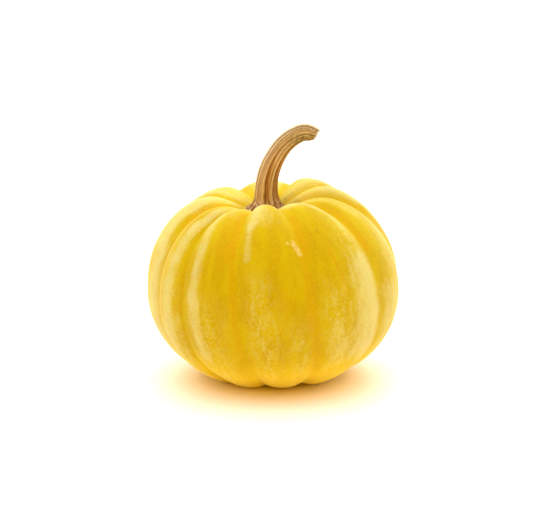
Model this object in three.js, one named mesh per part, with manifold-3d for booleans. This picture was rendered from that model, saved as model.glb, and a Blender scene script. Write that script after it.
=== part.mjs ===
// A mini pumpkin: one ribbed fruit with a dry, curved stem. Millimetres, +Z up, front of the fruit to -Y.
import * as THREE from 'three';
import { mergeVertices } from 'three/addons/utils/BufferGeometryUtils.js';
import Module from 'manifold-3d';

const wasm = await Module();
wasm.setup();

// Driving dimensions of the fruit.
const GIRTH_RADIUS = 45.2;        // radius at the widest level
const CROWN_HEIGHT = 39.8;        // shoulders above the widest level, before the hollow
const BASE_DEPTH = 35.0;          // underside below the widest level, before the hollow
const CROWN_FULLNESS = 0.92;      // exponent of the radius above: smaller is squarer
const BASE_FULLNESS = 0.83;       // the same, below
const STEM_HOLLOW = { deep: 12.2, wide: 15.3 };
const BLOSSOM_HOLLOW = { deep: 7.0, wide: 12.0 };
const CROWN_SHIFT = [-1.2, -2.5]; // how far the crown lies off the middle, x and y
const BASE_SHIFT = [0.2, 1.4];    // the same for the blossom end
const LEAN = Math.tan(THREE.MathUtils.degToRad(2.8)); // the crown leans to -X
const LEAN_LIFT = [0.65, 0.35];   // the lean lifts +X: share at the girth, and change up to the crown
const REST_HEIGHT = 32.2;         // the widest level above the resting plane, which flattens the underside

// Driving dimensions of the furrows between the ribs.
const FURROW_DEPTH = 1.15;        // at the girth
const FURROW_SOFTNESS = 0.22;     // rounding at the bottom of a furrow
const RIB_ROUNDNESS = 2.4;        // exponent of a rib's cross-section
const TYPICAL_RIB = 36;           // degrees: a rib this wide has the stated furrow depth
const SHOULDER_FURROW = { deeper: 1.15, at: 28, spread: 24 };
const BASE_FURROW = { deeper: 0.35, at: 150, spread: 22 };

// One row a rib. furrow: where its left furrow runs, in degrees round from the front, + to +X.
// drift: how far that furrow turns between girth and crown. crown, girth and base: how many mm the
// rib stands out at its shoulder, at the widest level and underneath.
const RIBS = [
  { furrow: -106.0, drift: -1.0, crown: 0.9, girth: -0.1, base: 0.3 },
  { furrow: -63.0, drift: 0.0, crown: -1.0, girth: 0.2, base: 0.4 },
  { furrow: -45.3, drift: -0.8, crown: -1.2, girth: 0.1, base: 0.3 },
  { furrow: -14.5, drift: -3.2, crown: 1.0, girth: -0.2, base: -0.2 },
  { furrow: 18.8, drift: -3.1, crown: 0.2, girth: 0.1, base: -0.1 },
  { furrow: 58.0, drift: -3.0, crown: -1.0, girth: 0.1, base: -0.7 },
  { furrow: 92.7, drift: -2.6, crown: 1.2, girth: 0.7, base: 0.6 },
  { furrow: 118.7, drift: -1.7, crown: 3.2, girth: 0.1, base: 0.6 },
  { furrow: 153.5, drift: -0.8, crown: 1.5, girth: 0.0, base: 0.3 },
  { furrow: 206.0, drift: 0.5, crown: 1.1, girth: 0.2, base: 0.3 },
];

// Driving dimensions of the stem.
const STEM_ROUTE = [              // middle of the stem from foot to cut end: x, y, z above the widest level
  [-2.2, -2.5, 26.5],
  [-2.2, -2.5, 31.0],
  [-2.4, -2.3, 35.7],
  [-1.9, -2.3, 41.0],
  [0.0, -2.5, 46.7],
  [4.1, -3.0, 53.1],
  [9.9, -4.0, 57.1],
  [15.0, -5.4, 56.9],
];
const STEM_RADIUS = 4.1;          // just above the foot
const TIP_RADIUS = 2.8;           // at the cut end
const FOOT_FLARE = { wider: 4.2, fades: 5.3 };  // mm added at the foot, and the length it fades over
const STEM_RIDGES = 5;
const RIDGE_SHARE = 0.08;         // ridge height as a share of the radius
const SEAT_GAP = 0.3;             // clearance between the stem's foot and the fruit

// Mesh fineness.
const RIB_STEPS = 8;
const FRUIT_ROWS = 34;
const STEM_SIDES = 30;
const STEM_ROWS = 22;

const bell = (x, middle, spread) => Math.exp(-(((x - middle) / spread) ** 2));
const inRadians = THREE.MathUtils.degToRad;

// Smooth meridian of the fruit, down from 0 at the stem to PI at the blossom end.
function meridian(down) {
  const level = Math.cos(down);
  const fullness = THREE.MathUtils.lerp(BASE_FULLNESS, CROWN_FULLNESS, 0.5 + 0.5 * level);
  const radius = GIRTH_RADIUS * Math.abs(Math.sin(down)) ** fullness;
  const height = level > 0
    ? CROWN_HEIGHT * level - STEM_HOLLOW.deep * bell(radius, 0, STEM_HOLLOW.wide)
    : BASE_DEPTH * level + BLOSSOM_HOLLOW.deep * bell(radius, 0, BLOSSOM_HOLLOW.wide);
  return new THREE.Vector2(radius, height);
}

// Outward normal of the meridian, in the plane of radius and height.
function meridianNormal(down) {
  const step = 0.001;
  const above = meridian(Math.max(down - step, 0));
  const below = meridian(Math.min(down + step, Math.PI));
  const along = below.sub(above).normalize();
  return new THREE.Vector2(-along.y, along.x);
}

// How much of the crown, the girth and the base there is at a height.
function zones(down) {
  const level = Math.cos(down);
  const crown = Math.max(level, 0) ** 2;
  const base = Math.max(-level, 0) ** 2;
  return { crown, girth: 1 - crown - base, base };
}

function furrowAngle(index, down) {
  const turns = Math.floor(index / RIBS.length);
  const rib = RIBS[index % RIBS.length];
  return inRadians(rib.furrow + rib.drift * Math.cos(down) + 360 * turns);
}

function furrowDepth(down) {
  const degrees = THREE.MathUtils.radToDeg(down);
  const shoulder = SHOULDER_FURROW.deeper * bell(degrees, SHOULDER_FURROW.at, SHOULDER_FURROW.spread);
  const base = BASE_FURROW.deeper * bell(degrees, BASE_FURROW.at, BASE_FURROW.spread);
  return (FURROW_DEPTH + shoulder + base) * Math.min(1, 3 * Math.sin(down));
}

// 0 on a rib's crest, 1 at the bottom of the furrow, with no crease there.
function furrowShape(across) {
  const rise = 1 - Math.abs(across) ** RIB_ROUNDNESS;
  const full = Math.hypot(1, FURROW_SOFTNESS) - FURROW_SOFTNESS;
  return 1 - (Math.hypot(rise, FURROW_SOFTNESS) - FURROW_SOFTNESS) / full;
}

// How far one rib stands out. Two neighbours meet half way, at the bottom of their furrow.
function ribLift(index, across, down, furrow) {
  const at = zones(down);
  const lift = (rib) => rib.crown * at.crown + rib.girth * at.girth + rib.base * at.base;
  const own = lift(RIBS[index]);
  const side = across < 0 ? RIBS.length - 1 : 1;
  const neighbour = lift(RIBS[(index + side) % RIBS.length]);
  return (own + (neighbour - own) * 0.5 * furrow) * Math.min(1, 2.5 * Math.sin(down));
}

// A point of the rind: rib number, across from -1 to 1 over that rib, and down the meridian.
function rindPoint(index, across, down, outward = 0) {
  const left = furrowAngle(index, down);
  const right = furrowAngle(index + 1, down);
  const angle = left + (right - left) * (across + 1) / 2;
  const width = (right - left) / inRadians(TYPICAL_RIB);
  const furrow = furrowShape(across);
  const sunk = furrowDepth(down) * furrow * width ** 0.6;
  const lift = outward + ribLift(index, across, down, furrow) - sunk;
  const point = meridian(down).addScaledVector(meridianNormal(down), lift);

  const at = zones(down);
  const x = point.x * Math.sin(angle) + CROWN_SHIFT[0] * at.crown + BASE_SHIFT[0] * at.base;
  const y = -point.x * Math.cos(angle) + CROWN_SHIFT[1] * at.crown + BASE_SHIFT[1] * at.base;
  const raised = LEAN_LIFT[0] + LEAN_LIFT[1] * Math.cos(down);
  return [x - point.y * LEAN, y, point.y + x * LEAN * raised];
}

// A closed skin from rings of equally many points, with one point closing each end.
function skinOfRings(rings, start, end) {
  const count = rings[0].length;
  const positions = [start, ...rings.flat(), end].flat();
  const last = rings.length * count + 1;
  const faces = [];
  for (let i = 0; i < count; i += 1) {
    const next = (i + 1) % count;
    faces.push(0, 1 + i, 1 + next);
    for (let row = 0; row < rings.length - 1; row += 1) {
      const upper = 1 + row * count;
      const lower = upper + count;
      faces.push(upper + i, lower + i, lower + next);
      faces.push(upper + i, lower + next, upper + next);
    }
    const final = 1 + (rings.length - 1) * count;
    faces.push(last, final + next, final + i);
  }
  const geometry = new THREE.BufferGeometry();
  geometry.setAttribute('position', new THREE.Float32BufferAttribute(positions, 3));
  geometry.setIndex(faces);
  return geometry;
}

function asSolid(geometry) {
  const bare = geometry.index ? geometry.toNonIndexed() : geometry.clone();
  bare.deleteAttribute('normal');
  bare.deleteAttribute('uv');
  const merged = mergeVertices(bare, 1e-5);
  const vertProperties = new Float32Array(merged.attributes.position.array);
  const triVerts = new Uint32Array(merged.index.array);
  return new wasm.Manifold(new wasm.Mesh({ numProp: 3, vertProperties, triVerts }));
}

function asGeometry(solid) {
  const mesh = solid.getMesh();
  const geometry = new THREE.BufferGeometry();
  geometry.setAttribute('position', new THREE.BufferAttribute(mesh.vertProperties, 3));
  geometry.setIndex(new THREE.BufferAttribute(mesh.triVerts, 1));
  return geometry;
}

// The whole rind, moved out by a gap where another piece needs clearance.
function rind(outward = 0) {
  const rings = [];
  for (let row = 1; row < FRUIT_ROWS; row += 1) {
    const down = Math.PI * row / FRUIT_ROWS;
    const ring = [];
    for (let rib = 0; rib < RIBS.length; rib += 1) {
      for (let step = 0; step < RIB_STEPS; step += 1) {
        ring.push(rindPoint(rib, -1 + 2 * step / RIB_STEPS, down, outward));
      }
    }
    rings.push(ring);
  }
  return skinOfRings(rings, rindPoint(0, 0, 0, outward), rindPoint(0, 0, Math.PI, outward));
}

// The fruit stands on the flat spots where its lowest ribs are pressed to one level.
function fruitGeometry() {
  const slab = new THREE.BoxGeometry(200, 200, 20);
  slab.translate(0, 0, -REST_HEIGHT - 10);
  return asGeometry(asSolid(rind()).subtract(asSolid(slab)));
}

function stemRadius(share, length) {
  const along = share * length;
  const taper = THREE.MathUtils.lerp(STEM_RADIUS, TIP_RADIUS, share);
  return taper + FOOT_FLARE.wider * Math.exp(-((along / FOOT_FLARE.fades) ** 2));
}

// A ridged tube along the stem's route, cut square at the tip. Its foot sits in the stem hollow.
function stemGeometry() {
  const route = new THREE.CatmullRomCurve3(STEM_ROUTE.map((place) => new THREE.Vector3(...place)));
  const length = route.getLength();
  const rings = [];
  for (let row = 0; row <= STEM_ROWS; row += 1) {
    const share = row / STEM_ROWS;
    const middle = route.getPointAt(share);
    const along = route.getTangentAt(share);
    const side = new THREE.Vector3(0, 1, 0).cross(along).normalize();
    const back = along.clone().cross(side);
    const ring = [];
    for (let i = 0; i < STEM_SIDES; i += 1) {
      const angle = 2 * Math.PI * i / STEM_SIDES;
      const ridge = 1 + RIDGE_SHARE * Math.cos(STEM_RIDGES * angle);
      const radius = stemRadius(share, length) * ridge;
      const point = middle.clone();
      point.addScaledVector(side, radius * Math.cos(angle));
      point.addScaledVector(back, radius * Math.sin(angle));
      ring.push(point.toArray());
    }
    rings.push(ring);
  }
  rings.reverse();
  const whole = skinOfRings(rings, route.getPointAt(1).toArray(), route.getPointAt(0).toArray());
  return asGeometry(asSolid(whole).subtract(asSolid(rind(SEAT_GAP))));
}

const rindMaterial = new THREE.MeshStandardMaterial({ color: 0xe0ac14, roughness: 0.45, metalness: 0 });
const stemMaterial = new THREE.MeshStandardMaterial({ color: 0xa9763a, roughness: 0.85, metalness: 0 });

const fruit = new THREE.Mesh(fruitGeometry(), rindMaterial);
fruit.name = 'fruit';

const stem = new THREE.Mesh(stemGeometry(), stemMaterial);
stem.name = 'stem';

// The origin is under the middle of the pumpkin, on the plane that it rests on.
const pumpkin = new THREE.Group();
pumpkin.add(fruit, stem);
const bounds = new THREE.Box3().setFromObject(pumpkin);
const middle = bounds.getCenter(new THREE.Vector3());
pumpkin.position.set(-middle.x, -middle.y, -bounds.min.z);
pumpkin.updateMatrixWorld(true);

export default pumpkin;
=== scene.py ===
import math

import bmesh
import bpy
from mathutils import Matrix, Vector, noise


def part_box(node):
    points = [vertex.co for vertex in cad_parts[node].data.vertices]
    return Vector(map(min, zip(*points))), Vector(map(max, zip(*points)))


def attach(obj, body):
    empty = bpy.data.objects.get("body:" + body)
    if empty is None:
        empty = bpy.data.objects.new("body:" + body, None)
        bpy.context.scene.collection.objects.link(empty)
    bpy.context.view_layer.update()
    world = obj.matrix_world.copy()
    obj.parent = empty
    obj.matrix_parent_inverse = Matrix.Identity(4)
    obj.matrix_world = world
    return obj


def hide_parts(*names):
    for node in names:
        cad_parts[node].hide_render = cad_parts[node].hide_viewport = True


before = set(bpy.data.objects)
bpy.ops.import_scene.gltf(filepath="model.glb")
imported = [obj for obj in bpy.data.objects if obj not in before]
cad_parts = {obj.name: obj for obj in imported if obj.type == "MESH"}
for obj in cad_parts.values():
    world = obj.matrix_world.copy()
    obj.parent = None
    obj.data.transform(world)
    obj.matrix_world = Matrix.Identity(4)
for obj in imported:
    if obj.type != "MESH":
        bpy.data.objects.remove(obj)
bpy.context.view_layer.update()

# A mini pumpkin on a white table. Shapes are worked out in millimetres around the middle of the
# fruit's widest level, front to -Y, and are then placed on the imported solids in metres.
MM = 0.001

# The fruit's body.
GIRTH_RADIUS = 45.2
CROWN_HEIGHT = 39.8
BASE_DEPTH = 35.0
CROWN_FULLNESS = 0.92
BASE_FULLNESS = 0.83
STEM_HOLLOW_DEEP = 12.2
STEM_HOLLOW_WIDE = 15.3
BLOSSOM_HOLLOW_DEEP = 7.0
BLOSSOM_HOLLOW_WIDE = 12.0
CROWN_SHIFT = (-1.2, -2.5)
BASE_SHIFT = (0.2, 1.4)
LEAN = math.tan(math.radians(2.8))
GIRTH_LIFT = 0.65
CROWN_LIFT = 0.35

# The furrows between the ribs. They are deeper near the stem and near the blossom end: by how many
# mm, how many degrees down from the stem, and over what spread.
FURROW_DEPTH = 1.15
DEEPER_FURROWS = [(1.15, 28, 24), (0.35, 150, 22)]
FURROW_SOFTNESS = 0.22
RIB_ROUNDNESS = 2.4
TYPICAL_RIB = 36.0

# The ribs, from the left round the front to the right and back. Each row gives the rib's left
# furrow in degrees from the front, how far that furrow drifts at the crown, and how many mm the
# rib stands out at its shoulder, at the girth and underneath.
RIBS = [
    (-106.0, -1.0, 0.9, -0.1, 0.3),
    (-63.0, 0.0, -1.0, 0.2, 0.4),
    (-45.3, -0.8, -1.2, 0.1, 0.3),
    (-14.5, -3.2, 1.0, -0.2, -0.2),
    (18.8, -3.1, 0.2, 0.1, -0.1),
    (58.0, -3.0, -1.0, 0.1, -0.7),
    (92.7, -2.6, 1.2, 0.7, 0.6),
    (118.7, -1.7, 3.2, 0.1, 0.6),
    (153.5, -0.8, 1.5, 0.0, 0.3),
    (206.0, 0.5, 1.1, 0.2, 0.3),
]
LEFT_BACK, LEFT_NARROW, LEFT_FRONT, FRONT, RIGHT_FRONT = range(5)
RIGHT, RIGHT_NARROW, BACK_RIGHT, BACK, BACK_LEFT = range(5, 10)

# Streaks along the ribs: rib, place across it (-1 left furrow, 1 right furrow) at the upper and at
# the lower end, half width, upper and lower end in degrees down from the stem, and strength.
# STREAK_FADES is the share of a streak's length over which each end fades out.
STREAK_FADES = (0.18, 0.25)
PALE_STREAKS = [
    (LEFT_BACK, 0.06, 0.34, 0.50, 8, 40, 1.10),
    (LEFT_BACK, 0.32, 0.50, 0.30, 30, 66, 0.98),
    (LEFT_BACK, 0.60, 0.62, 0.38, 52, 140, 0.90),
    (LEFT_BACK, -0.30, -0.20, 0.34, 8, 70, 0.75),
    (LEFT_BACK, -0.25, -0.35, 0.22, 55, 145, 0.60),
    (LEFT_NARROW, 0.45, 0.90, 0.38, 8, 44, 0.85),
    (LEFT_NARROW, 0.60, 0.28, 0.34, 20, 50, 0.55),
    (LEFT_NARROW, 0.34, 0.05, 0.54, 36, 70, 0.92),
    (LEFT_NARROW, 0.04, -0.34, 0.56, 58, 150, 1.00),
    (LEFT_NARROW, 0.78, 0.72, 0.34, 84, 145, 0.45),
    (LEFT_FRONT, -0.66, -0.50, 0.40, 18, 52, 0.80),
    (LEFT_FRONT, -0.48, -0.50, 0.26, 44, 88, 0.85),
    (LEFT_FRONT, -0.52, -0.44, 0.26, 76, 128, 0.86),
    (LEFT_FRONT, 0.10, 0.30, 0.50, 8, 38, 0.45),
    (FRONT, -0.26, -0.62, 0.28, 13, 44, 0.82),
    (FRONT, -0.62, -0.76, 0.20, 34, 66, 0.70),
    (FRONT, -0.05, 0.10, 0.55, 8, 48, 0.55),
    (FRONT, 0.62, 0.50, 0.14, 110, 160, 0.35),
    (RIGHT_FRONT, -0.62, -0.40, 0.40, 8, 28, 0.90),
    (RIGHT_FRONT, 0.20, 0.30, 0.55, 8, 36, 0.50),
    (RIGHT_FRONT, 0.48, 0.68, 0.30, 16, 60, 0.66),
    (RIGHT_FRONT, 0.72, 0.68, 0.24, 50, 96, 0.48),
    (RIGHT_FRONT, 0.74, 0.50, 0.28, 86, 135, 0.60),
    (RIGHT_FRONT, 0.50, 0.16, 0.50, 56, 132, 0.78),
    (RIGHT_FRONT, -0.55, -0.45, 0.32, 86, 134, 0.50),
    (RIGHT, -0.42, 0.02, 0.30, 8, 54, 0.60),
    (RIGHT, 0.14, -0.25, 0.36, 50, 116, 0.45),
    (RIGHT, -0.66, -0.50, 0.42, 74, 145, 0.68),
    (RIGHT, 0.50, 0.62, 0.24, 8, 90, 0.60),
    (RIGHT, 0.58, 0.50, 0.18, 78, 145, 0.70),
    (RIGHT_NARROW, -0.45, -0.16, 0.64, 4, 52, 0.98),
    (RIGHT_NARROW, 0.00, 0.22, 0.30, 34, 84, 0.80),
    (RIGHT_NARROW, 0.22, 0.10, 0.26, 70, 145, 0.75),
    (BACK_RIGHT, -0.45, -0.20, 0.60, 4, 46, 1.05),
    (BACK_RIGHT, -0.12, -0.35, 0.20, 32, 96, 0.85),
    (BACK_RIGHT, 0.42, 0.52, 0.17, 38, 150, 0.80),
    (BACK, -0.55, -0.62, 0.20, 6, 76, 0.95),
    (BACK, -0.62, -0.48, 0.15, 64, 150, 0.90),
    (BACK, -0.05, 0.05, 0.24, 6, 40, 0.60),
    (BACK, 0.50, 0.38, 0.22, 6, 110, 0.85),
    (BACK_LEFT, 0.42, 0.50, 0.28, 6, 58, 0.95),
    (BACK_LEFT, 0.50, 0.30, 0.20, 48, 145, 0.85),
    (BACK_LEFT, -0.50, -0.62, 0.18, 20, 140, 0.80),
    (BACK_LEFT, -0.20, -0.20, 0.40, 6, 40, 0.75),
]
# The orange streaks, given in the same way.
DEEP_STREAKS = [
    (LEFT_BACK, 0.80, 0.90, 0.26, 10, 54, 0.90),
    (LEFT_BACK, 0.94, 0.94, 0.15, 50, 110, 0.60),
    (LEFT_BACK, 0.35, 0.30, 0.14, 60, 140, 0.40),
    (LEFT_NARROW, -0.88, -0.82, 0.22, 18, 140, 0.70),
    (LEFT_NARROW, 0.86, 0.92, 0.20, 60, 118, 0.50),
    (LEFT_FRONT, -0.97, -0.97, 0.12, 50, 96, 0.45),
    (LEFT_FRONT, 0.10, 0.45, 0.45, 24, 70, 0.60),
    (LEFT_FRONT, 0.80, 0.82, 0.24, 14, 66, 0.90),
    (LEFT_FRONT, 0.84, 0.80, 0.16, 56, 126, 0.75),
    (LEFT_FRONT, 0.10, 0.15, 0.30, 60, 116, 0.35),
    (FRONT, 0.30, 0.15, 0.22, 30, 105, 0.45),
    (FRONT, -0.80, -0.75, 0.12, 62, 130, 0.45),
    (FRONT, 0.94, 0.90, 0.15, 24, 150, 0.75),
    (RIGHT_FRONT, -0.80, -0.90, 0.22, 28, 62, 0.90),
    (RIGHT_FRONT, -0.96, -0.96, 0.11, 50, 150, 0.72),
    (RIGHT_FRONT, -0.30, -0.12, 0.07, 50, 84, 0.80),
    (RIGHT_FRONT, 0.10, 0.12, 0.06, 84, 120, 0.40),
    (RIGHT, -0.84, -0.86, 0.26, 20, 72, 0.95),
    (RIGHT, 0.85, 0.85, 0.20, 24, 120, 0.50),
    (RIGHT_NARROW, -0.80, -0.70, 0.24, 30, 70, 0.85),
    (RIGHT_NARROW, 0.75, 0.75, 0.20, 20, 130, 0.50),
    (BACK_RIGHT, -0.70, -0.72, 0.24, 14, 80, 0.85),
    (BACK_RIGHT, 0.85, 0.80, 0.20, 20, 130, 0.50),
    (BACK, -0.05, -0.10, 0.22, 20, 120, 0.50),
    (BACK, 0.88, 0.90, 0.16, 16, 130, 0.70),
    (BACK_LEFT, 0.05, -0.15, 0.20, 30, 110, 0.50),
    (BACK_LEFT, 0.88, 0.90, 0.18, 16, 130, 0.70),
]
# Where the fine pale flecks crowd: rib, across, half width, upper and lower end, strength. The ends
# are soft by so many degrees to each side.
FIELD_SOFTNESS = (12, 10)
FLECK_FIELDS = [
    (LEFT_NARROW, 0.30, 0.60, 70, 150, 0.50),
    (LEFT_FRONT, -0.10, 0.55, 84, 165, 0.90),
    (FRONT, -0.45, 0.40, 70, 165, 0.95),
    (FRONT, 0.55, 0.35, 96, 165, 0.80),
    (RIGHT_FRONT, -0.45, 0.35, 76, 140, 0.95),
    (RIGHT_FRONT, 0.35, 0.35, 40, 160, 0.60),
    (RIGHT, 0.00, 0.60, 60, 160, 0.50),
    (RIGHT_NARROW, 0.00, 0.60, 60, 160, 0.60),
    (BACK_RIGHT, 0.10, 0.60, 66, 160, 0.80),
    (BACK, -0.20, 0.60, 60, 160, 0.90),
    (BACK_LEFT, 0.00, 0.60, 80, 160, 0.80),
    (LEFT_BACK, 0.00, 0.60, 76, 160, 0.70),
]
# Corky scars: rib, across and degrees down at both ends, and radius in mm. They are looked for within
# SCAR_REACH mm, and stand SCAR_RAISED mm out of the skin.
SCAR_REACH = 12
SCAR_RAISED = 0.22
SCARS = [
    (FRONT, 0.80, 51, 0.92, 57, 1.10),
    (FRONT, 0.60, 51, 0.62, 51.5, 0.55),
    (BACK_RIGHT, -0.30, 95, -0.22, 99, 0.80),
    (BACK, 0.40, 62, 0.44, 64, 0.60),
]
# Small dark specks: rib, across, degrees down, and radius in mm.
SPECKS = [
    (LEFT_FRONT, -0.22, 94, 0.55),
    (RIGHT_FRONT, -0.22, 35, 0.45),
    (RIGHT_FRONT, -0.08, 39, 0.50),
    (RIGHT_FRONT, -0.34, 47, 0.55),
    (BACK_RIGHT, 0.25, 70, 0.45),
    (BACK_LEFT, -0.30, 52, 0.50),
    (BACK, 0.10, 110, 0.45),
]

# How finely the rind is meshed, and how much its lengthwise grain is stretched.
RIND_RINGS = 196
RIND_STEP_DEGREES = 1.0
RIND_GRAIN_STRETCH = 0.28

# The stem's middle line from the foot to the cut end, and its thickness.
STEM_ROUTE = [
    (-2.2, -2.5, 26.5),
    (-2.2, -2.5, 31.0),
    (-2.4, -2.3, 35.7),
    (-1.9, -2.3, 41.0),
    (0.0, -2.5, 46.7),
    (4.1, -3.0, 53.1),
    (9.9, -4.0, 57.1),
    (15.0, -5.4, 56.9),
]
STEM_RADIUS = 4.5
TIP_RADIUS = 2.95
FOOT_WIDER = 5.2
FOOT_FADES = 5.2
STEM_TWIST = 12.0
GROOVE_SHARE = 0.15
CUT_SLANT = 0.90
BLUNT_TIP = 1.05
STEM_SIDES = 192
STEM_RINGS = 210
STEM_GRAIN_RADIUS = 4.2
STEM_GRAIN_STRETCH = 0.16
# The rings over the cut end: their size beside the rim's, and how far each is sunk in mm.
CUT_RINGS = [(0.95, -0.20), (0.86, -0.34), (0.74, -0.20), (0.56, 0.25), (0.36, 0.60), (0.16, 0.80)]
# The stem's ribs: left groove in degrees from the front at the foot (+ to +X), how deep that groove
# is, and how light the rib is.
STEM_RIBS = [
    (-122.0, 0.6, 0.6),
    (-102.0, 0.4, 0.9),
    (-71.0, 1.3, 1.0),
    (-50.0, 0.7, 0.45),
    (-31.0, 0.4, 0.85),
    (-9.0, 0.9, 0.05),
    (9.0, 0.6, 0.80),
    (34.0, 0.9, 0.65),
    (62.0, 0.7, 0.2),
    (104.0, 0.9, 0.5),
    (146.0, 1.0, 0.8),
    (184.0, 0.6, 0.4),
    (216.0, 0.9, 0.7),
]


def bell(x, middle, spread):
    return math.exp(-(((x - middle) / spread) ** 2))


def mix(a, b, share):
    return a + (b - a) * share


def smooth(x, low, high):
    share = min(max((x - low) / (high - low), 0.0), 1.0)
    return share * share * (3 - 2 * share)


# ---------------------------------------------------------------- the rind's shape

def meridian(down):
    """Radius and height of the smooth fruit, down from 0 at the stem to pi at the blossom end."""
    level = math.cos(down)
    fullness = mix(BASE_FULLNESS, CROWN_FULLNESS, 0.5 + 0.5 * level)
    radius = GIRTH_RADIUS * abs(math.sin(down)) ** fullness
    if level > 0:
        height = CROWN_HEIGHT * level - STEM_HOLLOW_DEEP * bell(radius, 0, STEM_HOLLOW_WIDE)
    else:
        height = BASE_DEPTH * level + BLOSSOM_HOLLOW_DEEP * bell(radius, 0, BLOSSOM_HOLLOW_WIDE)
    return Vector((radius, height))


def meridian_normal(down):
    step = 0.001
    along = meridian(min(down + step, math.pi)) - meridian(max(down - step, 0.0))
    return Vector((-along.y, along.x)).normalized()


def furrow_angle(rib, down):
    turns, row = divmod(rib, len(RIBS))
    angle, drift = RIBS[row][:2]
    return math.radians(angle + drift * math.cos(down) + 360 * turns)


def furrow_depth(down):
    degrees = math.degrees(down)
    deeper = sum(depth * bell(degrees, middle, spread) for depth, middle, spread in DEEPER_FURROWS)
    return (FURROW_DEPTH + deeper) * min(1.0, 3 * math.sin(down))


def furrow_shape(across, roundness=RIB_ROUNDNESS, softness=FURROW_SOFTNESS):
    """0 on a crest, 1 at the bottom of the furrow."""
    rise = 1 - abs(across) ** roundness
    full = math.hypot(1, softness) - softness
    return 1 - (math.hypot(rise, softness) - softness) / full


def crown_and_base(level):
    """How much a level belongs to the crown and how much to the base. The rest is the girth."""
    return max(level, 0) ** 2, max(-level, 0) ** 2


def rib_lift(rib, across, down, furrow):
    crown, base = crown_and_base(math.cos(down))
    girth = 1 - crown - base

    def lift(row):
        return row[2] * crown + row[3] * girth + row[4] * base

    own = lift(RIBS[rib])
    neighbour = lift(RIBS[(rib + (-1 if across < 0 else 1)) % len(RIBS)])
    return mix(own, neighbour, 0.5 * furrow) * min(1.0, 2.5 * math.sin(down))


def rind_point(rib, across, down, outward=0.0):
    left = furrow_angle(rib, down)
    right = furrow_angle(rib + 1, down)
    angle = mix(left, right, (across + 1) / 2)
    width = math.degrees(right - left) / TYPICAL_RIB
    furrow = furrow_shape(across)
    sunk = furrow_depth(down) * furrow * width ** 0.6
    raised = outward + rib_lift(rib, across, down, furrow) - sunk
    profile = meridian(down) + meridian_normal(down) * raised
    level = math.cos(down)
    crown, base = crown_and_base(level)
    x = profile.x * math.sin(angle) + CROWN_SHIFT[0] * crown + BASE_SHIFT[0] * base
    y = -profile.x * math.cos(angle) + CROWN_SHIFT[1] * crown + BASE_SHIFT[1] * base
    height = profile.y + x * LEAN * (GIRTH_LIFT + CROWN_LIFT * level)
    return Vector((x - profile.y * LEAN, y, height))


def fruit_place():
    """The move in mm from the shape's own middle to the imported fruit."""
    points = [
        rind_point(rib, step / 4 - 1, math.radians(down))
        for rib in range(len(RIBS))
        for step in range(8)
        for down in range(6, 130, 2)
    ]
    low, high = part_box("fruit")
    move = []
    for axis in range(2):
        values = [point[axis] for point in points]
        move.append((low[axis] + high[axis]) / 2 / MM - (min(values) + max(values)) / 2)
    move.append(high[2] / MM - max(point.z for point in points))
    return Vector(move)


PLACE = fruit_place()


def streak_strength(row, rib, across, degrees):
    own_rib, upper, lower, half_width, start, end, strength = row
    if rib != own_rib or not start < degrees < end:
        return 0.0
    share = (degrees - start) / (end - start)
    middle = mix(upper, lower, share)
    fade = smooth(share, 0.0, STREAK_FADES[0]) * smooth(1 - share, 0.0, STREAK_FADES[1])
    return strength * fade * bell(across, middle, half_width)


def field_strength(row, rib, across, degrees):
    own_rib, middle, half_width, start, end, strength = row
    if rib != own_rib:
        return 0.0
    soft_start, soft_end = FIELD_SOFTNESS
    inside = smooth(degrees, start - soft_start, start + soft_start)
    inside *= smooth(-degrees, -end - soft_end, -end + soft_end)
    return strength * inside * bell(across, middle, half_width)


def painted(rows, strength_of, rib, across, degrees):
    """The strengths of all the rows at one place, together at most 1."""
    return min(1.0, sum(strength_of(row, rib, across, degrees) for row in rows))


def scar_rows():
    rows = []
    for rib, across_a, down_a, across_b, down_b, radius in SCARS:
        start = rind_point(rib, across_a, math.radians(down_a))
        end = rind_point(rib, across_b, math.radians(down_b))
        rows.append((start, end, radius))
    return rows


def scar_strength(point, rows):
    best = 0.0
    for start, end, radius in rows:
        if (point - start).length > SCAR_REACH:
            continue
        along = end - start
        share = min(max((point - start).dot(along) / along.length_squared, 0.0), 1.0)
        away = (point - start - along * share).length
        ragged = radius * (1 + 0.35 * noise.noise(point * 1.1))
        best = max(best, 1 - smooth(away, ragged * 0.6, ragged * 1.2))
    return best


def skin_relief(point, across, degrees, grain):
    """Small height of the skin in mm over the smooth rib."""
    broad = 0.30 * noise.noise(point * 0.045)
    middling = 0.09 * noise.noise(point * 0.17 + Vector((7, 1, 3)))
    lengthwise = 0.06 * noise.noise(grain * 0.35)
    creased = bell(degrees, 22, 20) + 0.6 * bell(degrees, 152, 18)
    crease = -0.30 * bell(abs(across), 1.0, 0.07) * creased
    folds = 0.22 * bell(degrees, 9, 7) * noise.noise(Vector((grain.x, grain.y, 0)) * 0.16)
    return broad + middling + lengthwise + crease + folds


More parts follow.
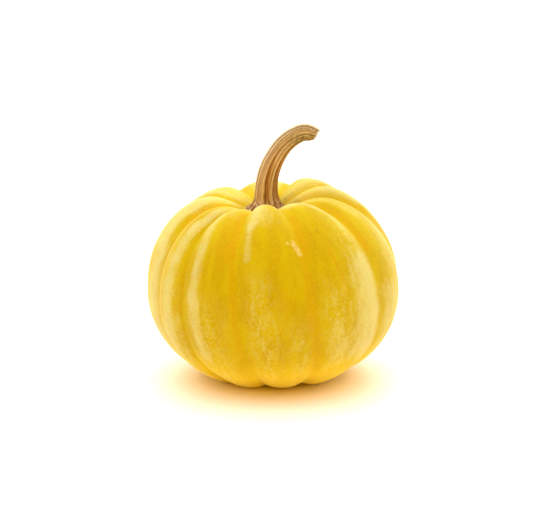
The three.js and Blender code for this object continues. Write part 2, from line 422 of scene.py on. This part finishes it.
def rind_piece():
    ring = []
    for rib in range(len(RIBS)):
        width = math.degrees(furrow_angle(rib + 1, math.pi / 2) - furrow_angle(rib, math.pi / 2))
        steps = round(width / RIND_STEP_DEGREES)
        for step in range(steps):
            ring.append((rib, 2 * step / steps - 1))
    scars = scar_rows()
    floor_level = -PLACE.z
    points = []
    values = {"furrow": [], "pale": [], "deep": [], "flecks": [], "scar": [], "down": []}
    grains = []

    def add_point(rib, across, down):
        degrees = math.degrees(down)
        left = furrow_angle(rib, down)
        right = furrow_angle(rib + 1, down)
        angle = mix(left, right, (across + 1) / 2)
        smooth_point = rind_point(rib, across, down)
        grain = Vector((
            GIRTH_RADIUS * math.sin(angle),
            -GIRTH_RADIUS * math.cos(angle),
            RIND_GRAIN_STRETCH * GIRTH_RADIUS * down,
        ))
        scar = scar_strength(smooth_point, scars)
        height = skin_relief(smooth_point, across, degrees, grain) + SCAR_RAISED * scar
        point = rind_point(rib, across, down, height)
        point.z = max(point.z, floor_level)
        points.append((point + PLACE) * MM)
        values["furrow"].append(furrow_shape(across))
        values["pale"].append(painted(PALE_STREAKS, streak_strength, rib, across, degrees))
        values["deep"].append(painted(DEEP_STREAKS, streak_strength, rib, across, degrees))
        values["flecks"].append(painted(FLECK_FIELDS, field_strength, rib, across, degrees))
        values["scar"].append(scar)
        values["down"].append(down / math.pi)
        grains.append(grain)

    add_point(0, 0.0, 0.0)
    for row in range(1, RIND_RINGS):
        for rib, across in ring:
            add_point(rib, across, math.pi * row / RIND_RINGS)
    add_point(0, 0.0, math.pi)
    faces = ring_faces(len(ring), RIND_RINGS - 1, len(points) - 1)
    return mesh_piece("fruit_rind", points, faces, values, grains)


def ring_faces(count, rings, last):
    """Faces of a closed skin: point 0, then rings of points, then the last point."""
    faces = []
    for i in range(count):
        after = (i + 1) % count
        faces.append((0, 1 + i, 1 + after))
        for row in range(rings - 1):
            upper = 1 + row * count
            lower = upper + count
            faces.append((upper + i, lower + i, lower + after, upper + after))
        final = 1 + (rings - 1) * count
        faces.append((last, final + after, final + i))
    return faces


def mesh_piece(name, points, faces, values, grains):
    mesh = bpy.data.meshes.new(name)
    mesh.from_pydata(points, [], faces)
    mesh.update()
    for label, numbers in values.items():
        layer = mesh.attributes.new(label, "FLOAT", "POINT")
        layer.data.foreach_set("value", numbers)
    layer = mesh.attributes.new("grain", "FLOAT_VECTOR", "POINT")
    layer.data.foreach_set("vector", [number for grain in grains for number in grain])
    mesh.shade_smooth()
    piece = bpy.data.objects.new(name, mesh)
    bpy.context.scene.collection.objects.link(piece)
    return piece


# ---------------------------------------------------------------- the stem's shape

def route_point(share):
    """Point of the stem's middle line, by a curve through the route's points."""
    last = len(STEM_ROUTE) - 1
    place = min(share * last, last - 1e-6)
    index = int(place)
    t = place - index
    a, b, c, d = (Vector(STEM_ROUTE[min(max(index + k, 0), last)]) for k in (-1, 0, 1, 2))
    if index == 0:
        a = b * 2 - c
    if index == last - 1:
        d = c * 2 - b
    slope = c - a
    bend = 2 * a - 5 * b + 4 * c - d
    twist = 3 * b - a - 3 * c + d
    return 0.5 * (2 * b + slope * t + bend * t**2 + twist * t**3)


def stem_rib_at(degrees):
    """Place across a stem rib from -1 to 1, the depth of the nearest groove, and the lightness."""
    count = len(STEM_RIBS)
    for index in range(count):
        left, left_depth, light = STEM_RIBS[index]
        right, right_depth, light_after = STEM_RIBS[(index + 1) % count]
        light_before = STEM_RIBS[index - 1][2]
        if index == count - 1:
            right += 360
        turned = (degrees - left) % 360
        if turned < right - left:
            across = 2 * turned / (right - left) - 1
            edge = max(abs(across) - 0.6, 0.0) / 0.8
            light = mix(light, light_before if across < 0 else light_after, edge)
            return across, left_depth if across < 0 else right_depth, light
    return 0.0, 0.0, 0.5


def stem_piece():
    points = []
    values = {"groove": [], "light": [], "line": [], "foot": [], "tip": [], "top_highlight": [], "cut": []}
    grains = []
    samples = [route_point(step / 400) for step in range(401)]
    length = sum((b - a).length for a, b in zip(samples, samples[1:]))

    def frame_at(share):
        middle = route_point(share)
        along = (route_point(min(share + 0.004, 1)) - route_point(max(share - 0.004, 0))).normalized()
        side = Vector((0, 1, 0)).cross(along).normalized()
        return middle, along, side, along.cross(side)

    def add_ring(share, inward, sunk, cut):
        """One ring of the stem. inward shrinks it and sunk moves it back into the cut end."""
        middle, along, side, back = frame_at(share)
        run = share * length
        from_tip = length - run
        foot = bell(run, 0, FOOT_FADES)
        near_cut = smooth(-from_tip, -3.5, 0.0)
        lip = bell(from_tip, 0, 1.9)
        for i in range(STEM_SIDES):
            degrees = 360 * i / STEM_SIDES
            across, depth, light = stem_rib_at(degrees - STEM_TWIST * share)
            groove = furrow_shape(across, 2.4, 0.10) * depth
            angle = math.radians(degrees - 90)
            spin = Vector((math.cos(angle), math.sin(angle), 0)) * STEM_GRAIN_RADIUS
            grain = Vector((spin.x, spin.y, STEM_GRAIN_STRETCH * run))
            ridges = noise.noise(Vector((spin.x, spin.y, 0.03 * run)) * 1.15)
            lines = noise.noise(Vector((spin.x, spin.y, 0.02 * run)) * 2.3 + Vector((5, 2, 0)))
            knobs = noise.noise(Vector((spin.x, spin.y, run * 0.7)) * 1.3)
            radius = mix(STEM_RADIUS, TIP_RADIUS, share)
            radius *= 1 - GROOVE_SHARE * groove * (1 + 0.4 * foot)
            radius += FOOT_WIDER * foot * (1.12 - 0.75 * min(groove, 1.0) ** 2)
            radius += 0.22 * ridges + 0.16 * lines
            radius += 0.10 * noise.noise(grain * 0.9)
            radius += 0.75 * bell(run, 5.0, 3.0) * knobs
            radius -= lip * (0.30 * max(math.cos(angle), 0.0) + 0.8 * max(-math.cos(angle), 0.0))
            teeth = 0.45 * noise.noise(spin * 1.1) + 0.55 * noise.noise(spin * 4.5)
            reach = min(0.5 * teeth - CUT_SLANT * math.cos(angle), BLUNT_TIP)
            place = middle + along * (reach * near_cut - sunk)
            radius *= inward * (1 - 0.14 * bell(from_tip, 0, 0.7))
            point = place + side * radius * math.cos(angle) + back * radius * math.sin(angle)
            points.append((point + PLACE) * MM)
            values["groove"].append(groove)
            values["light"].append(light)
            values["line"].append(0.5 + 0.7 * lines + 0.6 * ridges)
            values["foot"].append(bell(run, 2.0, 5.0))
            values["tip"].append(smooth(share, 0.58, 0.88) * min(0.80 + 0.6 * math.cos(angle), 1.0))
            # Painted highlight on the stem's upper side, growing towards the tip.
            values["top_highlight"].append(smooth(share, 0.05, 0.85) * max(-math.cos(angle), 0.0) ** 2)
            values["cut"].append(cut)
            grains.append(grain)

    points.append((route_point(0) + PLACE) * MM)
    for label in values:
        values[label].append(0.0)
    grains.append(Vector((0, 0, 0)))
    for row in range(STEM_RINGS + 1):
        add_ring(row / STEM_RINGS, 1.0, 0.0, 0.0)
    for inward, sunk in CUT_RINGS:
        add_ring(1.0, inward, sunk, 1.0)
    middle, along = frame_at(1.0)[:2]
    points.append((middle - along * 0.9 + PLACE) * MM)
    for label in values:
        values[label].append(1.0 if label == "cut" else 0.5)
    grains.append(Vector((0, 0, STEM_GRAIN_STRETCH * length)))
    rings = STEM_RINGS + 1 + len(CUT_RINGS)
    faces = [tuple(reversed(face)) for face in ring_faces(STEM_SIDES, rings, len(points) - 1)]
    return mesh_piece("dry_stem", points, faces, values, grains)


# ---------------------------------------------------------------- shader helpers

def add(tree, kind, settings=None, **inputs):
    """Add a node. An input is a plain value or the socket that feeds it."""
    node = tree.nodes.new(kind)
    for name, value in (settings or {}).items():
        setattr(node, name, value)
    for name, value in inputs.items():
        plug(tree, node.inputs[name.replace("_", " ")], value)
    return node


def plug(tree, socket, value):
    if isinstance(value, bpy.types.NodeSocket):
        tree.links.new(value, socket)
    else:
        socket.default_value = value


def calc(tree, operation, *terms, clamp=False):
    node = add(tree, "ShaderNodeMath", {"operation": operation, "use_clamp": clamp})
    for socket, term in zip(node.inputs, terms):
        plug(tree, socket, term)
    return node.outputs[0]


def tint(tree, share, below, above, blend="MIX"):
    """Mix two colours by a share, as paint over paint."""
    node = add(tree, "ShaderNodeMix", {"data_type": "RGBA", "blend_type": blend})
    plug(tree, node.inputs[0], share)
    plug(tree, node.inputs[6], below)
    plug(tree, node.inputs[7], above)
    return node.outputs[2]


def glaze(tree, mask, strength, below, above):
    """Lay a colour thinly over another where the mask is."""
    return tint(tree, calc(tree, "MULTIPLY", mask, strength), below, above)


def attribute(tree, name, output="Fac"):
    return add(tree, "ShaderNodeAttribute", {"attribute_name": name}).outputs[output]


def ranged(tree, value, low, high, to_low=0.0, to_high=1.0):
    node = add(tree, "ShaderNodeMapRange", {"interpolation_type": "SMOOTHSTEP"})
    for index, term in enumerate((value, low, high, to_low, to_high)):
        plug(tree, node.inputs[index], term)
    return node.outputs[0]


def group_tree(name, inputs, outputs):
    tree = bpy.data.node_groups.new(name, "ShaderNodeTree")
    for label, kind, default in inputs:
        socket = tree.interface.new_socket(label, in_out="INPUT", socket_type=kind)
        if default is not None:
            socket.default_value = default
    for label, kind in outputs:
        tree.interface.new_socket(label, in_out="OUTPUT", socket_type=kind)
    start = tree.nodes.new("NodeGroupInput").outputs
    end = tree.nodes.new("NodeGroupOutput").inputs
    return tree, start, end


def use_group(tree, group, **inputs):
    node = add(tree, "ShaderNodeGroup", {"node_tree": group}, **inputs)
    return node.outputs


FLOAT = "NodeSocketFloat"
VECTOR = "NodeSocketVector"
RANGE_INPUTS = [("Place", VECTOR, None), ("Scale", FLOAT, 1.0), ("Low", FLOAT, 0.4), ("High", FLOAT, 0.6)]


def clouding_group():
    """Soft uneven patches, such as the rind's yellow clouds and the stem's weathering."""
    tree, start, end = group_tree("clouding", RANGE_INPUTS, [("Mask", FLOAT)])
    cloud = add(tree, "ShaderNodeTexNoise", Vector=start["Place"], Scale=start["Scale"], Detail=5.0,
                Roughness=0.6)
    mask = ranged(tree, cloud.outputs["Fac"], start["Low"], start["High"])
    plug(tree, end["Mask"], mask)
    return tree


def flecks_group():
    """Scattered small specks: Share is how many cells hold one, Size is its radius in cells."""
    inputs = [("Place", VECTOR, None), ("Scale", FLOAT, 1.0), ("Size", FLOAT, 0.3), ("Share", FLOAT, 0.5)]
    tree, start, end = group_tree("flecks", inputs, [("Mask", FLOAT)])
    warp = add(tree, "ShaderNodeTexNoise", Vector=start["Place"], Scale=start["Scale"], Detail=2.0)
    shift = add(tree, "ShaderNodeVectorMath", {"operation": "SCALE"}, Scale=0.35)
    plug(tree, shift.inputs[0], warp.outputs["Color"])
    scaled = add(tree, "ShaderNodeVectorMath", {"operation": "SCALE"}, Scale=start["Scale"])
    plug(tree, scaled.inputs[0], start["Place"])
    moved = add(tree, "ShaderNodeVectorMath", {"operation": "ADD"})
    plug(tree, moved.inputs[0], scaled.outputs[0])
    plug(tree, moved.inputs[1], shift.outputs[0])
    cells = add(tree, "ShaderNodeTexVoronoi", Vector=moved.outputs[0], Scale=1.0)
    dice = add(tree, "ShaderNodeSeparateColor", Color=cells.outputs["Color"])
    chosen = calc(tree, "LESS_THAN", dice.outputs[0], start["Share"])
    varied = calc(tree, "ADD", 0.6, calc(tree, "MULTIPLY", dice.outputs[1], 0.8))
    size = calc(tree, "MULTIPLY", start["Size"], varied)
    near = ranged(tree, cells.outputs["Distance"], size, calc(tree, "MULTIPLY", size, 0.45))
    plug(tree, end["Mask"], calc(tree, "MULTIPLY", near, chosen))
    return tree


def grain_group():
    """Fine streaks that run lengthwise, as a mask and as a height."""
    tree, start, end = group_tree("lengthwise_grain", RANGE_INPUTS, [("Mask", FLOAT), ("Height", FLOAT)])
    squeeze = add(tree, "ShaderNodeVectorMath", {"operation": "MULTIPLY"})
    plug(tree, squeeze.inputs[0], start["Place"])
    squeeze.inputs[1].default_value = (1.0, 1.0, 0.35)
    streaks = add(tree, "ShaderNodeTexNoise", Vector=squeeze.outputs[0], Scale=start["Scale"], Detail=4.0,
                  Roughness=0.65)
    plug(tree, end["Mask"], ranged(tree, streaks.outputs["Fac"], start["Low"], start["High"]))
    plug(tree, end["Height"], streaks.outputs["Fac"])
    return tree


CLOUDING = clouding_group()
FLECKS = flecks_group()
GRAIN = grain_group()


def new_material(name):
    material = bpy.data.materials.new(name)
    material.use_nodes = True
    tree = material.node_tree
    return material, tree, tree.nodes["Principled BSDF"]


# The rind's colours.
AMBER = (0.424, 0.288, 0.0002, 1)
GOLD = (0.472, 0.354, 0.0004, 1)
LEMON = (0.565, 0.52, 0.125, 1)
STRAW = (0.555, 0.525, 0.22, 1)
ORANGE = (0.49, 0.272, 0.0002, 1)
HONEY = (0.56, 0.41, 0.002, 1)
# Painted light: a warm glow over the upper rind, strongest in its shaded furrows.
NOOK_PAINTED_LIGHT = (0.86, 0.56, 0.004, 1)
# Painted light: brightens the underside, which lies in shade.
UNDERSIDE_PAINTED_LIGHT = (1.50, 1.48, 1.40, 1)
# Painted light: a golden glow low on the fruit, standing in for light bounced up from the table.
CONTACT_PAINTED_LIGHT = (0.98, 0.76, 0.03, 1)
# Painted light: brightens the shaded stem hollow.
CROOK_PAINTED_LIGHT = (0.96, 0.70, 0.05, 1)
FINE_SPECK = (0.30, 0.18, 0.02, 1)
DARK_SPECK = (0.26, 0.14, 0.02, 1)
STEM_STAIN = (0.42, 0.28, 0.03, 1)
SCAR_DULL = (0.56, 0.40, 0.10, 1)
SCAR_BRIGHT = (0.70, 0.54, 0.22, 1)
BLOSSOM_CORK = (0.36, 0.22, 0.09, 1)
SHEEN = (1.0, 0.92, 0.5, 1)


def rind_streaks(tree, colour, mottle, dapple, lengthwise):
    """Orange streaks in the furrows and pale streaks along the ribs, with uneven edges."""
    edge = calc(tree, "MULTIPLY_ADD", mottle, 0.24, -0.10)
    edge = calc(tree, "ADD", edge, calc(tree, "MULTIPLY", dapple, 0.14))
    deep = ranged(tree, calc(tree, "ADD", attribute(tree, "deep"), edge), 0.25, 1.00)
    colour = glaze(tree, deep, 0.85, colour, ORANGE)
    edge = calc(tree, "ADD", edge, calc(tree, "MULTIPLY", lengthwise, 0.10))
    pale = ranged(tree, calc(tree, "ADD", attribute(tree, "pale"), edge), 0.28, 1.12)
    return glaze(tree, pale, 0.80, colour, STRAW)


def rind_flecks(tree, colour, body, mottle, dapple):
    """Soft pale flecks where they crowd, and small glints and embers all over."""
    field = attribute(tree, "flecks")
    colour = tint(tree, calc(tree, "MULTIPLY", mottle, calc(tree, "MULTIPLY", field, 0.60)), colour, LEMON)
    share = calc(tree, "MULTIPLY_ADD", field, 0.46, 0.02)
    colour = tint(tree, calc(tree, "MULTIPLY", dapple, share), colour, LEMON)
    glints = use_group(tree, CLOUDING, Place=body, Scale=1500.0, Low=0.42, High=0.60)["Mask"]
    colour = glaze(tree, glints, 0.34, colour, HONEY)
    embers = use_group(tree, CLOUDING, Place=body, Scale=900.0, Low=0.54, High=0.63)["Mask"]
    return glaze(tree, embers, 0.30, colour, ORANGE)


def rind_painted_light(tree, colour, down):
    """Painted light where shade falls: a warmer glow in the furrows of the crown, a brighter underside, a
    golden glow low down for light bounced from the table, and a brighter stem hollow.
    """
    furrow = attribute(tree, "furrow")
    # Painted light over the upper part, most in the furrows, brightening them where shade falls.
    nook_light = calc(tree, "MULTIPLY_ADD", ranged(tree, furrow, 0.40, 1.0), 0.10, 0.06)
    nook_light = calc(tree, "MULTIPLY", nook_light, ranged(tree, down, 0.42, 0.16))
    colour = tint(tree, nook_light, colour, NOOK_PAINTED_LIGHT)
    # Painted light: the shaded underside made about half again as bright.
    colour = tint(tree, ranged(tree, down, 0.60, 0.80), colour, UNDERSIDE_PAINTED_LIGHT, "MULTIPLY")
    # Painted light: a golden glow low down, where the fruit lies in shade near the table.
    colour = glaze(tree, ranged(tree, down, 0.66, 0.84), 0.50, colour, CONTACT_PAINTED_LIGHT)
    # Painted light in the stem hollow, lifting the shade around the stem's foot.
    return glaze(tree, ranged(tree, down, 0.17, 0.09), 0.24, colour, CROOK_PAINTED_LIGHT)


def rind_specks(tree, colour, body):
    """Fine specks all over, and the few larger dark ones."""
    fine = use_group(tree, FLECKS, Place=body, Scale=220.0, Size=0.050, Share=0.05)["Mask"]
    colour = glaze(tree, fine, 0.55, colour, FINE_SPECK)
    for rib, across, degrees, radius in SPECKS:
        gap = add(tree, "ShaderNodeVectorMath", {"operation": "DISTANCE"})
        plug(tree, gap.inputs[0], body)
        gap.inputs[1].default_value = (rind_point(rib, across, math.radians(degrees)) + PLACE) * MM
        near = ranged(tree, gap.outputs["Value"], radius * MM, 0.0)
        colour = glaze(tree, near, 0.75, colour, DARK_SPECK)
    return colour


def rind_cork(tree, colour, body, down, scarred):
    """The stain around the stem, the corky scars and the blossom end."""
    near_stem = ranged(tree, down, 0.090, 0.040)
    stain = use_group(tree, CLOUDING, Place=body, Scale=260.0, Low=0.42, High=0.62)["Mask"]
    stained = calc(tree, "MULTIPLY", near_stem, calc(tree, "MULTIPLY_ADD", stain, 0.5, 0.25))
    colour = tint(tree, stained, colour, STEM_STAIN)
    crumbs = use_group(tree, CLOUDING, Place=body, Scale=900.0, Low=0.4, High=0.6)["Mask"]
    colour = glaze(tree, scarred, 0.65, colour, tint(tree, crumbs, SCAR_DULL, SCAR_BRIGHT))
    return tint(tree, ranged(tree, down, 0.968, 0.985), colour, BLOSSOM_CORK)


def rind_height(tree, body, lengthwise, scarred):
    """Fine height of the skin for its bump: grain, pores and cork."""
    pores = use_group(tree, FLECKS, Place=body, Scale=700.0, Size=0.30, Share=0.6)["Mask"]
    skin = add(tree, "ShaderNodeTexNoise", Vector=body, Scale=900.0, Detail=3.0)
    height = calc(tree, "ADD", calc(tree, "MULTIPLY", skin.outputs["Fac"], 0.35),
                  calc(tree, "MULTIPLY", lengthwise, 0.8))
    height = calc(tree, "SUBTRACT", height, calc(tree, "MULTIPLY", pores, 0.12))
    return calc(tree, "ADD", height, calc(tree, "MULTIPLY", scarred, 0.8))


def rind_material():
    material, tree, shader = new_material("waxy_rind")
    place = attribute(tree, "grain", "Vector")
    body = add(tree, "ShaderNodeTexCoord").outputs["Object"]
    down = attribute(tree, "down")
    clouds = use_group(tree, CLOUDING, Place=place, Scale=0.16, Low=0.38, High=0.62)["Mask"]
    mottle = use_group(tree, CLOUDING, Place=place, Scale=0.42, Low=0.44, High=0.70)["Mask"]
    dapple = use_group(tree, CLOUDING, Place=body, Scale=1000.0, Low=0.45, High=0.63)["Mask"]
    streaks = use_group(tree, GRAIN, Place=place, Scale=1.1, Low=0.30, High=0.70)
    ragged_scar = calc(tree, "ADD", attribute(tree, "scar"), calc(tree, "MULTIPLY", dapple, 0.3))
    scarred = ranged(tree, ragged_scar, 0.35, 1.1)

    colour = tint(tree, clouds, AMBER, GOLD)
    colour = rind_streaks(tree, colour, mottle, dapple, streaks["Mask"])
    colour = rind_flecks(tree, colour, body, mottle, dapple)
    colour = rind_painted_light(tree, colour, down)
    colour = rind_specks(tree, colour, body)
    colour = rind_cork(tree, colour, body, down, scarred)
    height = rind_height(tree, body, streaks["Height"], scarred)
    bump = add(tree, "ShaderNodeBump", Strength=0.25, Distance=0.00022, Height=height)
    rough = calc(tree, "MULTIPLY_ADD", clouds, 0.08, 0.44)
    rough = calc(tree, "ADD", rough, calc(tree, "MULTIPLY", scarred, 0.35), clamp=True)

    plug(tree, shader.inputs["Base Color"], colour)
    plug(tree, shader.inputs["Roughness"], rough)
    plug(tree, shader.inputs["Normal"], bump.outputs["Normal"])
    shader.inputs["Specular IOR Level"].default_value = 0.02
    shader.inputs["Sheen Weight"].default_value = 0.45
    shader.inputs["Sheen Roughness"].default_value = 0.35
    shader.inputs["Sheen Tint"].default_value = SHEEN
    shader.inputs["Subsurface Weight"].default_value = 0.3
    shader.inputs["Subsurface Radius"].default_value = (1.0, 0.45, 0.05)
    shader.inputs["Subsurface Scale"].default_value = 0.005
    return material


# The stem's colours.
RUSSET = (0.445, 0.214, 0.024, 1)
SAND = (0.62, 0.415, 0.15, 1)
UMBER = (0.13, 0.033, 0.003, 1)
RUST = (0.30, 0.116, 0.014, 1)
OLIVE = (0.14, 0.105, 0.020, 1)
# CREAM_AND_HIGHLIGHT is the fine pale lines' own colour and also the painted highlight on the stem's upper
# side.
CREAM_AND_HIGHLIGHT = (0.94, 0.84, 0.60, 1)
BROWN_FIBRE = (0.30, 0.095, 0.004, 1)
# The raised ridges' paler tan: partly their own tone, partly painted highlight.
RIDGE_TAN_AND_HIGHLIGHT = (0.74, 0.53, 0.25, 1)
TIP_TAN = (0.46, 0.36, 0.12, 1)
BARK_DARK = (0.17, 0.055, 0.018, 1)
BARK_LIGHT = (0.52, 0.35, 0.23, 1)
BARK_CELL = (0.72, 0.58, 0.46, 1)
PITH_DARK = (0.50, 0.36, 0.18, 1)
PITH_LIGHT = (0.80, 0.68, 0.45, 1)


def stem_wood(tree, place, fibres, fine):
    """The ribs' own shades with fibres, pale ridges that are partly painted highlight, a painted highlight
    along the upper side, cracks and dark grooves.
    """
    weathering = use_group(tree, CLOUDING, Place=place, Scale=0.55, Low=0.35, High=0.65)["Mask"]
    rib_light = calc(tree, "SUBTRACT", attribute(tree, "light"), 0.20)
    light = calc(tree, "MULTIPLY_ADD", weathering, 0.40, rib_light)
    colour = tint(tree, ranged(tree, light, 0.15, 0.90), RUSSET, SAND)
    colour = glaze(tree, fibres, 0.60, colour, BROWN_FIBRE)
    line = attribute(tree, "line")
    # Paler tan on the raised ridges: partly their own tone, partly painted highlight.
    colour = glaze(tree, ranged(tree, line, 0.58, 0.80), 0.75, colour, RIDGE_TAN_AND_HIGHLIGHT)
    colour = glaze(tree, fine, 0.30, colour, CREAM_AND_HIGHLIGHT)
    # Cream painted highlight along the stem's upper side, a little uneven.
    uneven_highlight = calc(tree, "MULTIPLY_ADD", weathering, 0.2, 0.75)
    colour = tint(tree, calc(tree, "MULTIPLY", attribute(tree, "top_highlight"), uneven_highlight), colour, CREAM_AND_HIGHLIGHT)
    colour = glaze(tree, ranged(tree, line, 0.42, 0.24), 0.80, colour, RUST)
    groove = attribute(tree, "groove")
    colour = glaze(tree, ranged(tree, groove, 0.06, 0.40), 0.55, colour, RUST)
    return glaze(tree, ranged(tree, groove, 0.42, 1.00), 0.85, colour, UMBER)


def stem_tip(tree, colour, body):
    """The tan tip with its olive mottle."""
    tip = attribute(tree, "tip")
    colour = glaze(tree, tip, 0.55, colour, TIP_TAN)
    spots = use_group(tree, CLOUDING, Place=body, Scale=1000.0, Low=0.44, High=0.55)["Mask"]
    spotted = calc(tree, "MULTIPLY", spots, calc(tree, "MULTIPLY_ADD", tip, 0.68, 0.05))
    return tint(tree, spotted, colour, OLIVE)


def stem_ends(tree, colour, body, foot, cells):
    """The corky foot and the pith of the cut end."""
    bark = use_group(tree, CLOUDING, Place=body, Scale=500.0, Low=0.40, High=0.60)["Mask"]
    corky = glaze(tree, cells, 0.6, tint(tree, bark, BARK_DARK, BARK_LIGHT), BARK_CELL)
    colour = glaze(tree, foot, 0.80, colour, corky)
    crumbs = use_group(tree, CLOUDING, Place=body, Scale=1300.0, Low=0.4, High=0.6)["Mask"]
    return tint(tree, attribute(tree, "cut"), colour, tint(tree, crumbs, PITH_DARK, PITH_LIGHT))


def stem_material():
    material, tree, shader = new_material("dry_stem_cork")
    place = attribute(tree, "grain", "Vector")
    body = add(tree, "ShaderNodeTexCoord").outputs["Object"]
    foot = attribute(tree, "foot")
    fibres = use_group(tree, GRAIN, Place=place, Scale=2.2, Low=0.44, High=0.60)
    fine = use_group(tree, GRAIN, Place=place, Scale=7.0, Low=0.54, High=0.66)
    cells = use_group(tree, FLECKS, Place=body, Scale=900.0, Size=0.5, Share=0.6)["Mask"]

    colour = stem_wood(tree, place, fibres["Mask"], fine["Mask"])
    colour = stem_tip(tree, colour, body)
    colour = stem_ends(tree, colour, body, foot, cells)
    rough_wood = add(tree, "ShaderNodeTexNoise", Vector=body, Scale=1500.0, Detail=4.0)
    height = calc(tree, "MULTIPLY_ADD", fine["Height"], 0.7, fibres["Height"])
    height = calc(tree, "MULTIPLY_ADD", rough_wood.outputs["Fac"], 0.4, height)
    height = calc(tree, "MULTIPLY_ADD", calc(tree, "MULTIPLY", cells, foot), 0.6, height)
    bump = add(tree, "ShaderNodeBump", Strength=0.8, Distance=0.0006, Height=height)

    plug(tree, shader.inputs["Base Color"], colour)
    plug(tree, shader.inputs["Roughness"], calc(tree, "MULTIPLY_ADD", fibres["Mask"], 0.2, 0.62))
    plug(tree, shader.inputs["Normal"], bump.outputs["Normal"])
    shader.inputs["Specular IOR Level"].default_value = 0.12
    return material


TABLE_WHITES = ((0.88, 0.775, 0.685, 1), (0.90, 0.795, 0.705, 1))
TABLE_SATIN = (0.18, 0.18, 0.18, 1)


def table_material():
    material, tree = new_material("satin_white_table")[:2]
    place = add(tree, "ShaderNodeTexCoord").outputs["Object"]
    faint = use_group(tree, CLOUDING, Place=place, Scale=6.0, Low=0.2, High=0.8)["Mask"]
    colour = tint(tree, faint, *TABLE_WHITES)
    diffuse = add(tree, "ShaderNodeBsdfDiffuse", Color=colour)
    satin = add(tree, "ShaderNodeBsdfAnisotropic", Color=TABLE_SATIN, Roughness=0.50)
    both = add(tree, "ShaderNodeAddShader")
    plug(tree, both.inputs[0], diffuse.outputs[0])
    plug(tree, both.inputs[1], satin.outputs[0])
    plug(tree, tree.nodes["Material Output"].inputs["Surface"], both.outputs[0])
    return material


# ---------------------------------------------------------------- the studio

# The camera, in mm. HALF_VIEW is the tangent of half its angle of view.
CAMERA_ELEVATION = math.radians(14.2)
CAMERA_DISTANCE = 750.0
CAMERA_AIM = Vector((-2.35, 0.0, 10.0))
HALF_VIEW = 0.1274
SENSOR_WIDTH = 36.0
# The table, in metres.
TABLE_HALF_WIDTH = 6.0


def make_camera():
    data = bpy.data.cameras.new("camera")
    data.sensor_width = SENSOR_WIDTH
    data.lens = SENSOR_WIDTH / 2 / HALF_VIEW
    camera = bpy.data.objects.new("camera", data)
    aim = (CAMERA_AIM + PLACE) * MM
    back = Vector((0, -math.cos(CAMERA_ELEVATION), math.sin(CAMERA_ELEVATION)))
    camera.location = aim + back * CAMERA_DISTANCE * MM
    camera.rotation_euler = back.to_track_quat("Z", "Y").to_euler()
    bpy.context.scene.collection.objects.link(camera)
    bpy.context.scene.camera = camera


def make_table():
    bm = bmesh.new()
    bmesh.ops.create_grid(bm, x_segments=8, y_segments=8, size=TABLE_HALF_WIDTH)
    mesh = bpy.data.meshes.new("table")
    bm.to_mesh(mesh)
    bm.free()
    table = bpy.data.objects.new("table", mesh)
    table.data.materials.append(table_material())
    bpy.context.scene.collection.objects.link(table)


# The tent's colours and how bright its parts are.
REFLECTOR_GOLD = (1.0, 0.57, 0.01, 1)
TENT_WHITE = (1.0, 1.0, 1.0, 1)
WALLS_LIGHT = 1.25
BACK_LIGHT = 0.4
CEILING_LIGHT = 2.05
REFLECTOR_LIGHT = 1.26
BACKDROP_LIGHT = 1.2


def make_world():
    """A white tent, brightest overhead and behind, with a gold reflector low in front."""
    world = bpy.data.worlds.new("white_tent")
    world.use_nodes = True
    tree = world.node_tree
    direction = add(tree, "ShaderNodeTexCoord").outputs["Generated"]
    part = add(tree, "ShaderNodeSeparateXYZ", Vector=direction).outputs
    front = ranged(tree, part["Y"], 0.1, -0.55)
    low = ranged(tree, part["Z"], 0.62, 0.42)
    gold = calc(tree, "MULTIPLY", front, low)
    walls = ranged(tree, part["Y"], -0.66, 0.34, 0.0, WALLS_LIGHT)
    back = ranged(tree, part["Y"], 0.5, 0.95, 0.0, BACK_LIGHT)
    ceiling = ranged(tree, part["Z"], 0.45, 0.95, 0.0, CEILING_LIGHT)
    strength = calc(tree, "ADD", calc(tree, "ADD", walls, back), ceiling)
    strength = calc(tree, "ADD", strength, calc(tree, "MULTIPLY", gold, REFLECTOR_LIGHT))
    seen = add(tree, "ShaderNodeLightPath").outputs["Is Camera Ray"]
    strength = calc(tree, "MAXIMUM", strength, calc(tree, "MULTIPLY", seen, BACKDROP_LIGHT))
    unseen = calc(tree, "SUBTRACT", 1.0, seen)
    colour = tint(tree, calc(tree, "MULTIPLY", gold, unseen), TENT_WHITE, REFLECTOR_GOLD)
    background = tree.nodes["Background"]
    plug(tree, background.inputs["Color"], colour)
    plug(tree, background.inputs["Strength"], strength)
    bpy.context.scene.world = world


rind = rind_piece()
rind.data.materials.append(rind_material())
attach(rind, "root")
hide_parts("fruit")

stem = stem_piece()
stem.data.materials.append(stem_material())
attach(stem, "root")
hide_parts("stem")

make_table()
make_world()
make_camera()
bpy.context.scene.view_settings.view_transform = "Standard"
